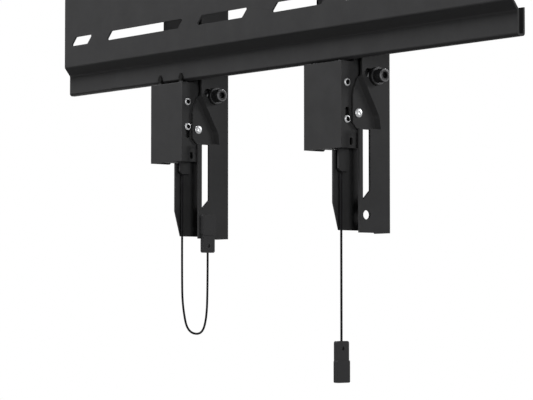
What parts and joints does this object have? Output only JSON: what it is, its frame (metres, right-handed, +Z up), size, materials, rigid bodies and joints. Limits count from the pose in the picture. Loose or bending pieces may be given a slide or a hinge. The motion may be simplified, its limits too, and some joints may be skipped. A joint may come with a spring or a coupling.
{
  "type": "tilting television wall bracket",
  "caption": "Black steel wall plate with hemmed rails that carries hooked, tilting arms for a television, each locked by a sprung latch with a pull cord and tab.",
  "frame": {"origin": "centre of the wall plate on its wall face", "axes": "+X along the wall to the right as seen from the wall, +Y from the wall to the television, +Z up"},
  "size_m": [0.69, 0.0575, 0.5734],
  "materials": {
    "black_coat": "fine matt powder coat",
    "zinc": "bright zinc plate",
    "black_steel": "satin black oxide with worn edges",
    "spring_steel": "drawn wire",
    "cord": "braided cord",
    "tab_plastic": "fine moulded grain",
    "magnet": "nickel plate"
  },
  "bodies": {
    "wall_plate": {"wall_plate": "black_coat"},
    "left_hook": {"left_hook_bracket": "black_coat", "left_tie_spacer": "zinc", "left_lower_leg": "black_coat", "left_guide_rivet": "zinc", "left_pivot_rivet": "zinc", "left_clamp_spacer": "zinc", "left_clamp_screw": "black_steel", "left_clamp_washer": "black_steel", "left_clamp_nut": "zinc", "left_latch_spring": "spring_steel", "left_pull_cord": "cord"},
    "left_arm": {"left_tilting_arm": "black_coat", "left_pull_tab": "tab_plastic", "left_tab_magnet": "magnet"},
    "left_latch": {"left_latch_slider": "black_coat", "left_latch_pin": "zinc"},
    "right_hook": {"right_hook_bracket": "black_coat", "right_tie_spacer": "zinc", "right_lower_leg": "black_coat", "right_guide_rivet": "zinc", "right_pivot_rivet": "zinc", "right_clamp_spacer": "zinc", "right_clamp_screw": "black_steel", "right_clamp_washer": "black_steel", "right_clamp_nut": "zinc", "right_latch_spring": "spring_steel"},
    "right_arm": {"right_tilting_arm": "black_coat"},
    "right_latch": {"right_latch_slider": "black_coat", "right_latch_pin": "zinc", "right_pull_cord": "cord", "right_pull_tab": "tab_plastic", "right_tab_magnet": "magnet"}
  },
  "joints": [
    {"name": "left_rail_slide", "type": "slide", "parent": "wall_plate", "child": "left_hook", "axis": [1, 0, 0], "range_m": [-0.06, 0.06]},
    {"name": "left_tilt", "type": "hinge", "parent": "left_hook", "child": "left_arm", "pos_m": [-0.1295, 0.021, -0.1453], "axis": [-1, 0, 0], "range_deg": [0, 6], "deforming": ["left_pull_cord"]},
    {"name": "left_latch_slide", "type": "slide", "parent": "left_hook", "child": "left_latch", "axis": [0, 0, -1], "range_m": [0, 0.009], "stiffness_N_per_m": 400, "springref_m": -0.006, "deforming": ["left_latch_spring", "left_pull_cord"]},
    {"name": "right_rail_slide", "type": "slide", "parent": "wall_plate", "child": "right_hook", "axis": [1, 0, 0], "range_m": [-0.06, 0.06]},
    {"name": "right_tilt", "type": "hinge", "parent": "right_hook", "child": "right_arm", "pos_m": [0.1205, 0.021, -0.1453], "axis": [-1, 0, 0], "range_deg": [0, 6]},
    {"name": "right_latch_slide", "type": "slide", "parent": "right_hook", "child": "right_latch", "axis": [0, 0, 1], "range_m": [0, 0.009], "deforming": ["right_latch_spring"]}
  ]
}
